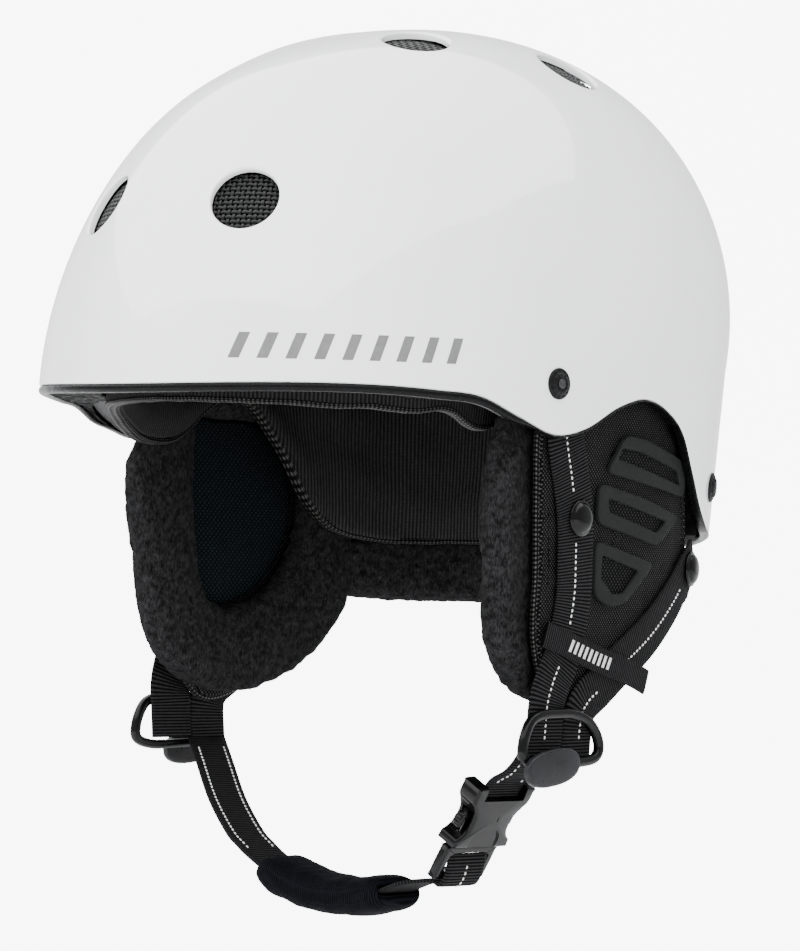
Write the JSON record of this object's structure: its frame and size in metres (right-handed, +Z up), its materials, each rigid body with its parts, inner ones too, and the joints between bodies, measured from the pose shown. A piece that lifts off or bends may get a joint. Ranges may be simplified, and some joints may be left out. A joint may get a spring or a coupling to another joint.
{
  "type": "ski helmet",
  "caption": "Hard-shell ski helmet with round vents, swinging padded ear flaps, webbing harness, side-release buckle and padded chin strap.",
  "frame": {"origin": "centre of the flat underside of the crown pad, where the top of the wearer's head touches", "axes": "+Z up, -Y towards the wearer's front, +X towards the wearer's left"},
  "size_m": [0.2128, 0.2782, 0.3206],
  "materials": {
    "shell_coat": "gloss white moulded shell",
    "trim": "satin black edge bead",
    "foam": "black moulded foam beads",
    "knit": "fine ribbed black knit",
    "plush": "dark blue-black plush",
    "ear_net": "open speaker mesh over the ear hole",
    "vent_net": "black basket-weave grille",
    "rivet": "black textured rivet head",
    "nylon": "black ripstop-weave nylon",
    "rib": "dark grey smooth rubber",
    "webbing": "black ribbed webbing with pale stitching",
    "keeper": "sewn woven band",
    "hardware": "gloss black moulded plastic",
    "retainer": "soft black rubber",
    "chin_cloth": "navy-black padded sleeve"
  },
  "bodies": {
    "shell": {"outer_shell": "shell_coat", "edge_trim": "trim", "impact_liner": "foam", "comfort_liner": "knit", "brow_pad": "knit", "crown_pad": "knit", "neck_roll": "plush", "retainer_plate": "hardware", "vent_mesh_1": "vent_net", "vent_mesh_2": "vent_net", "vent_mesh_3": "vent_net", "vent_mesh_4": "vent_net", "vent_mesh_5": "vent_net", "vent_mesh_6": "vent_net", "vent_mesh_7": "vent_net", "vent_mesh_8": "vent_net", "vent_mesh_9": "vent_net", "vent_mesh_10": "vent_net", "vent_mesh_11": "vent_net", "rivet_side_left": "rivet", "rivet_side_right": "rivet", "rivet_rear_left": "rivet", "rivet_rear_right": "rivet"},
    "goggle_loop": {"retainer_loop": "retainer"},
    "left_flap": {"ear_pad_left": "nylon", "ear_lining_left": "plush", "ear_mesh_left": "ear_net", "rib_upper_left": "rib", "rib_middle_left": "rib", "rib_lower_left": "rib", "front_strap_left": "webbing", "rear_strap_left": "webbing", "keeper_left": "keeper", "snap_front_left": "hardware", "snap_rear_left": "hardware", "divider_left": "hardware", "lower_strap_left": "webbing", "buckle_socket": "hardware"},
    "left_lock": {"lock_left": "hardware"},
    "right_flap": {"ear_pad_right": "nylon", "ear_lining_right": "plush", "ear_mesh_right": "ear_net", "rib_upper_right": "rib", "rib_middle_right": "rib", "rib_lower_right": "rib", "front_strap_right": "webbing", "rear_strap_right": "webbing", "keeper_right": "keeper", "snap_front_right": "hardware", "snap_rear_right": "hardware", "divider_right": "hardware"},
    "right_lock": {"lock_right": "hardware"},
    "chin": {"chin_strap": "webbing", "buckle_plug": "hardware"},
    "front_prong": {"prong_front": "hardware"},
    "rear_prong": {"prong_rear": "hardware"},
    "chin_cushion": {"chin_pad": "chin_cloth"}
  },
  "joints": [
    {"name": "chin_strap_release", "type": "hinge", "parent": "right_flap", "child": "chin", "pos_m": [-0.0882, 0.02, -0.2115], "axis": [0, 1, 0], "range_deg": [0, 45]},
    {"name": "left_flap_swing", "type": "hinge", "parent": "shell", "child": "left_flap", "pos_m": [0.0953, 0, -0.1036], "axis": [0.0491, -0.9883, 0.1441], "range_deg": [0, 15.5]},
    {"name": "right_flap_swing", "type": "hinge", "parent": "shell", "child": "right_flap", "pos_m": [-0.0953, 0, -0.1036], "axis": [0.0491, 0.9883, -0.1441], "range_deg": [0, 15.5]},
    {"name": "rear_prong_squeeze", "type": "hinge", "parent": "chin", "child": "rear_prong", "pos_m": [0.05936, 0.0077, -0.24206], "axis": [0.8571, 0, -0.5151], "range_deg": [0, 5]},
    {"name": "front_prong_squeeze", "type": "hinge", "parent": "chin", "child": "front_prong", "pos_m": [0.05936, -0.0077, -0.24206], "axis": [-0.8571, 0, 0.5151], "range_deg": [0, 5]},
    {"name": "chin_pad_slide", "type": "hinge", "parent": "chin", "child": "chin_cushion", "pos_m": [0.0097, -0.007, -0.1845], "axis": [0, 1, 0], "range_deg": [-5, 5]},
    {"name": "left_lock_flip", "type": "hinge", "parent": "left_flap", "child": "left_lock", "pos_m": [0.09506, 0.001, -0.206], "axis": [0, -1, 0], "range_deg": [0, 75]},
    {"name": "right_lock_flip", "type": "hinge", "parent": "right_flap", "child": "right_lock", "pos_m": [-0.09446, 0.021, -0.206], "axis": [0, 1, 0], "range_deg": [0, 75]},
    {"name": "goggle_loop_flip", "type": "hinge", "parent": "shell", "child": "goggle_loop", "pos_m": [0, 0.15212, -0.0807], "axis": [1, 0, 0], "range_deg": [0, 80]}
  ],
  "couplings": [
    {"joint": "left_flap_swing", "follows": "chin_strap_release", "ratio": 0.33333},
    {"joint": "right_flap_swing", "follows": "chin_strap_release", "ratio": 0.33333}
  ]
}
